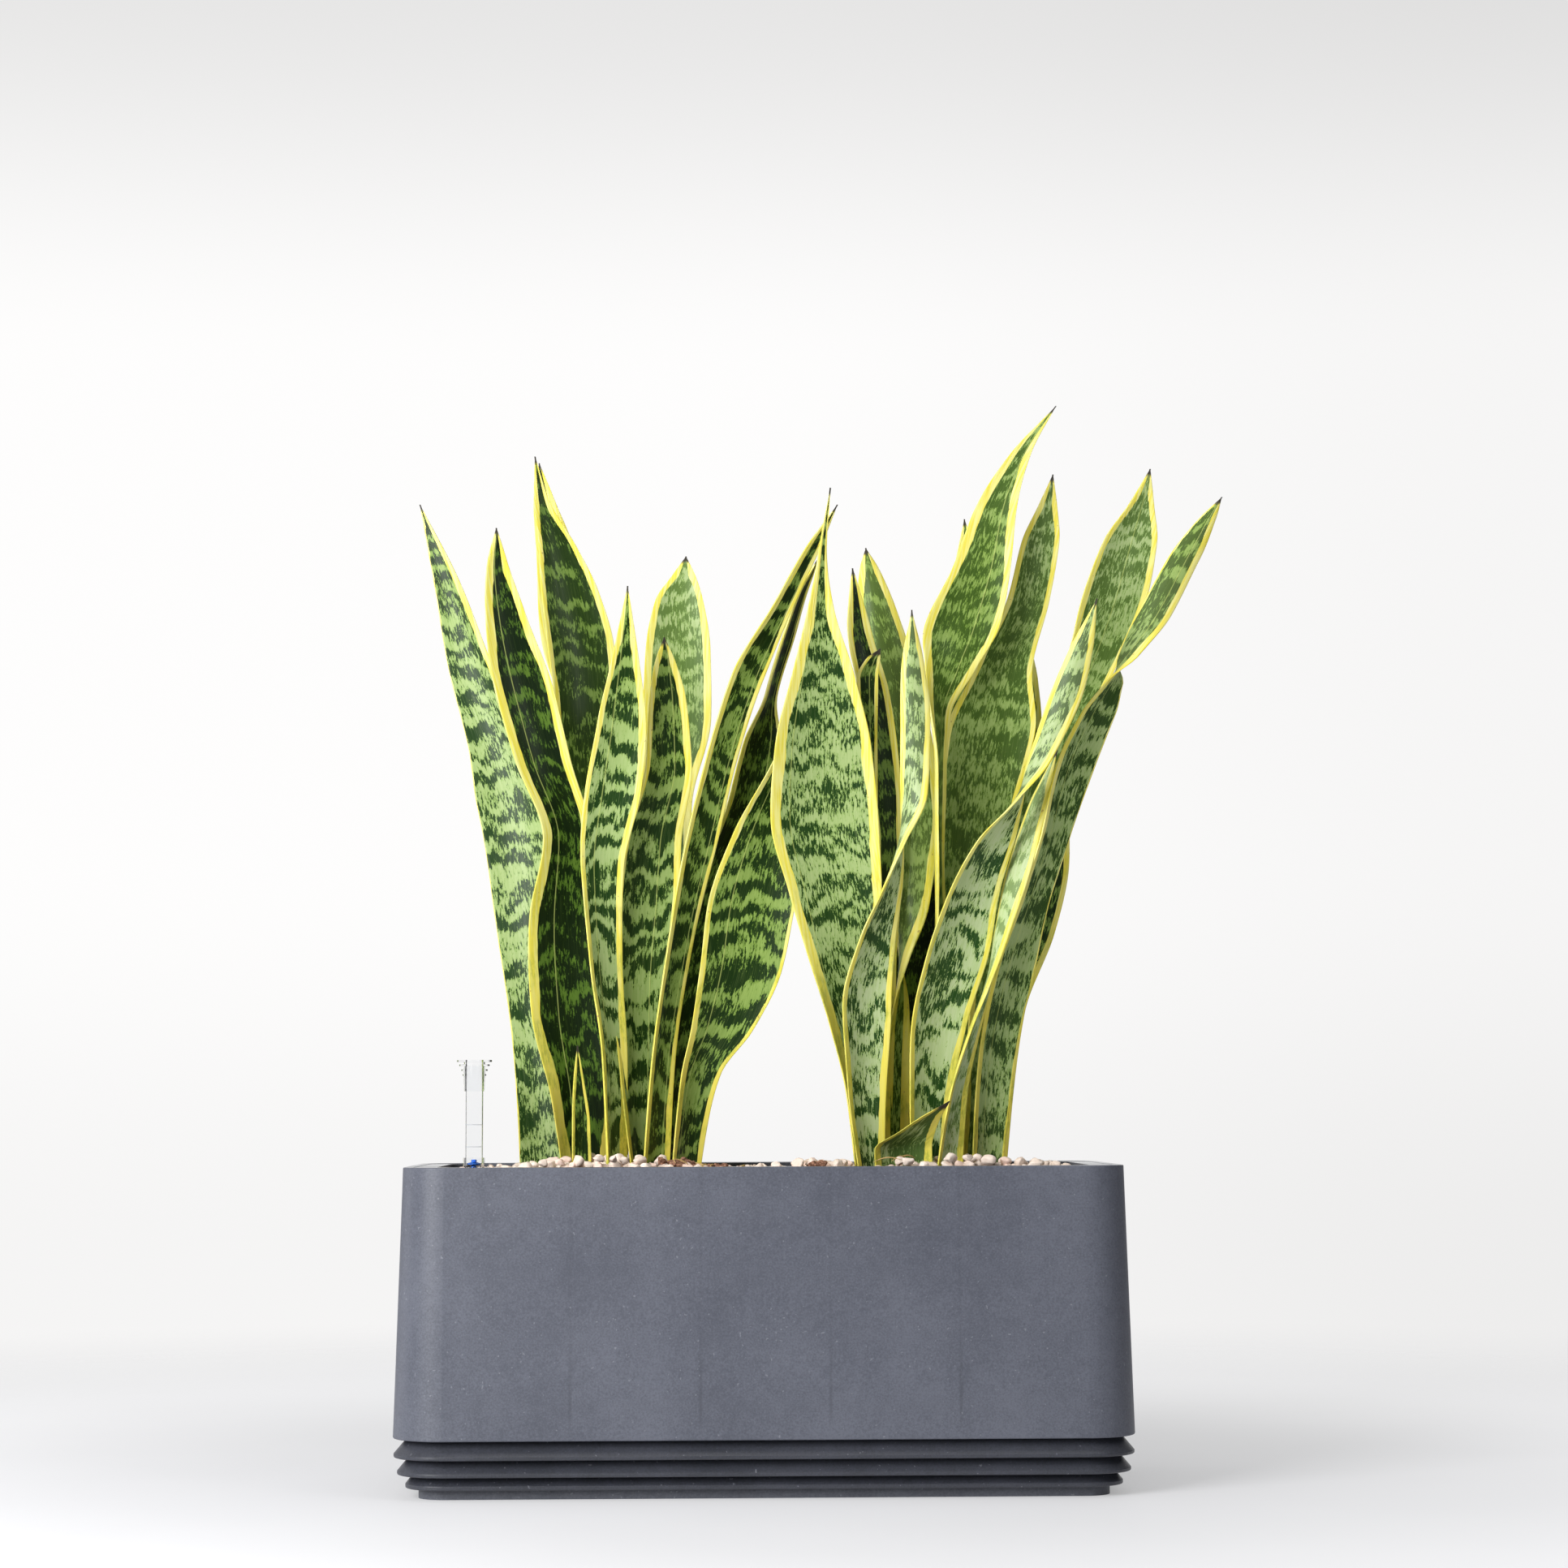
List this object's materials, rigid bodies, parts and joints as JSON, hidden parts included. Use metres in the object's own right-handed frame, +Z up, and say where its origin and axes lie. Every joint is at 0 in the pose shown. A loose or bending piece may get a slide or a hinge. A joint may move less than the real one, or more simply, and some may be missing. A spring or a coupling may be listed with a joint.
{
  "type": "self watering planter",
  "caption": "Tapered rectangular planter on a louvred water reservoir, with a lift-out liner, wick baskets, a float gauge, pebbles and snake plants.",
  "frame": {"origin": "middle of the underside, on the surface that the planter stands on", "axes": "+X along the length to the right, +Y from front to back, +Z up"},
  "size_m": [0.6948, 0.25, 0.912],
  "materials": {
    "shell": "satin",
    "tub": "satin",
    "louvre": "satin",
    "liner": "satin",
    "black_plastic": "matte",
    "rubber": "matte",
    "soil": "matte",
    "pebbles": "matte",
    "leaf": "satin",
    "clear_plastic": "gloss",
    "blue_plastic": "gloss",
    "white_plastic": "matte",
    "foam": "matte"
  },
  "bodies": {
    "base": {"outer_shell": "shell", "reservoir_tub": "tub", "louvre_ring_lower": "louvre", "louvre_ring_middle": "louvre", "louvre_ring_upper": "louvre"},
    "drain": {"drain_plug": "black_plastic", "drain_plug_seal": "rubber"},
    "liner": {"inner_liner": "liner", "wick_basket_left": "black_plastic", "wick_basket_right": "black_plastic", "support_legs": "black_plastic", "potting_soil": "soil", "pebble_mulch": "pebbles", "snake_plant_left": "leaf", "snake_plant_right": "leaf", "gauge_guide_pipe": "clear_plastic", "gauge_grommet": "rubber"},
    "gauge": {"gauge_tube": "clear_plastic", "gauge_collar": "clear_plastic", "gauge_foot": "black_plastic"},
    "float": {"float_pointer": "blue_plastic", "float_rod": "white_plastic", "float_body": "foam"}
  },
  "joints": [
    {"name": "liner_lift", "type": "slide", "parent": "base", "child": "liner", "axis": [0, 0, 1], "range_m": [0, 0.25]},
    {"name": "gauge_pull", "type": "slide", "parent": "liner", "child": "gauge", "axis": [0, 0, 1], "range_m": [0, 0.26]},
    {"name": "float_rise", "type": "slide", "parent": "gauge", "child": "float", "axis": [0, 0, 1], "range_m": [0, 0.04]},
    {"name": "drain_plug_pull", "type": "slide", "parent": "base", "child": "drain", "axis": [0, 0, 1], "range_m": [0, 0.03]}
  ]
}
